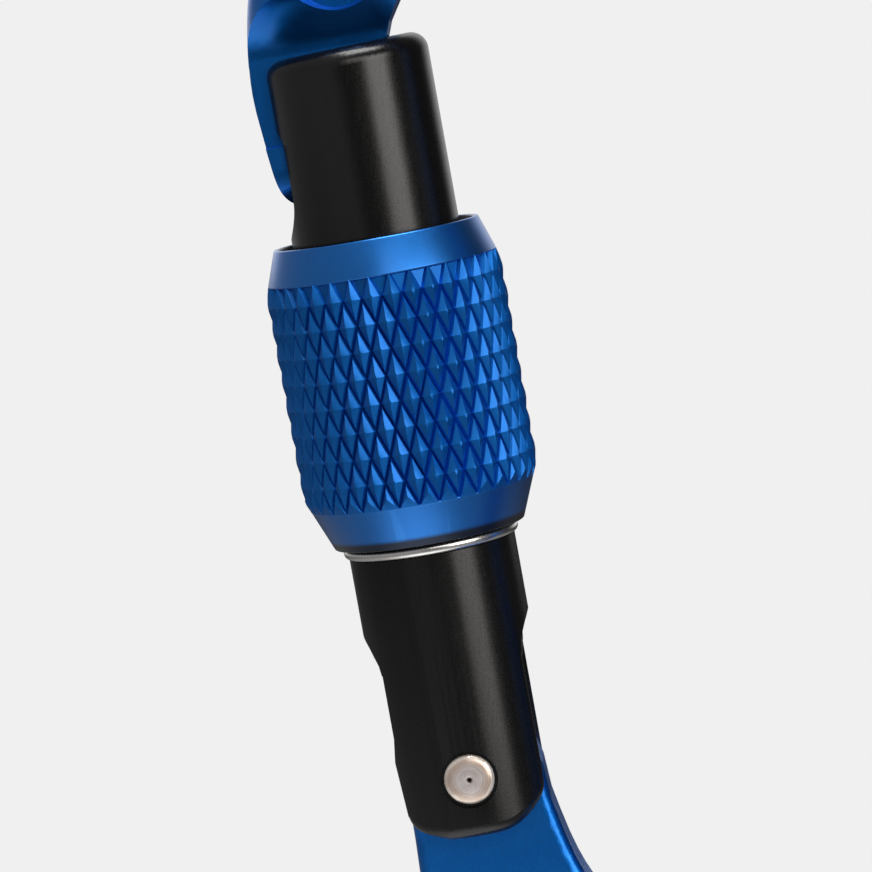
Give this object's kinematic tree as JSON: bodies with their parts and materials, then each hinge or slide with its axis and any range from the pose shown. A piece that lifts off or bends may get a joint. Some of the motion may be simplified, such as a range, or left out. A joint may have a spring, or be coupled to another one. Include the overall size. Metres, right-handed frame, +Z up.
{
  "type": "screw-lock carabiner",
  "caption": "Pear-shaped locking carabiner: fluted forged frame, inward-swinging tube gate with a keyed nose, and a knurled sleeve that screws up over the nose to lock it.",
  "frame": {"origin": "centre of the bounding box, which lies inside the loop in the carabiner's mid plane", "axes": "+Z up the carabiner from the narrow hinge end to the wide nose end, +X from the gate to the spine, Y across the thickness; the carabiner's plane is XZ"},
  "size_m": [0.0698, 0.0164, 0.111],
  "materials": {
    "anodised_blue_frame": "satin blue anodised",
    "anodised_black_gate": "satin black anodised",
    "anodised_blue_sleeve": "satin blue anodised, knurled",
    "polished_steel": "polished wire",
    "stainless_rivet": "pressed stainless",
    "plunger_steel": "turned",
    "spring_steel": "drawn wire"
  },
  "bodies": {
    "frame": {"body": "anodised_blue_frame"},
    "gate": {"gate": "anodised_black_gate", "hinge_rivet": "stainless_rivet", "return_spring": "spring_steel"},
    "ring": {"stop_ring": "polished_steel"},
    "sleeve": {"locking_sleeve": "anodised_blue_sleeve"},
    "plunger": {"plunger": "plunger_steel"}
  },
  "joints": [
    {"name": "gate_swing", "type": "hinge", "parent": "frame", "child": "gate", "pos_m": [-0.01977, 0, -0.0315], "axis": [0, 1, 0], "range_deg": [0, 27], "stiffness_Nm_per_rad": 0.12, "springref_deg": -28.65},
    {"name": "sleeve_turn", "type": "hinge", "parent": "gate", "child": "ring", "pos_m": [-0.01977, 0, -0.0315], "axis": [-0.1761, 0, 0.9844], "range_deg": [0, 1440]},
    {"name": "sleeve_travel", "type": "slide", "parent": "ring", "child": "sleeve", "axis": [-0.1761, 0, 0.9844], "range_m": [0, 0.00701]},
    {"name": "plunger_push", "type": "slide", "parent": "gate", "child": "plunger", "axis": [-0.1761, 0, 0.9844], "range_m": [0, 0.00096], "deforming": ["return_spring"]}
  ],
  "couplings": [
    {"joint": "sleeve_travel", "follows": "sleeve_turn", "m_per_rad": 0.00027852},
    {"joint": "plunger_push", "follows": "gate_swing", "m_per_rad": 0.002}
  ]
}
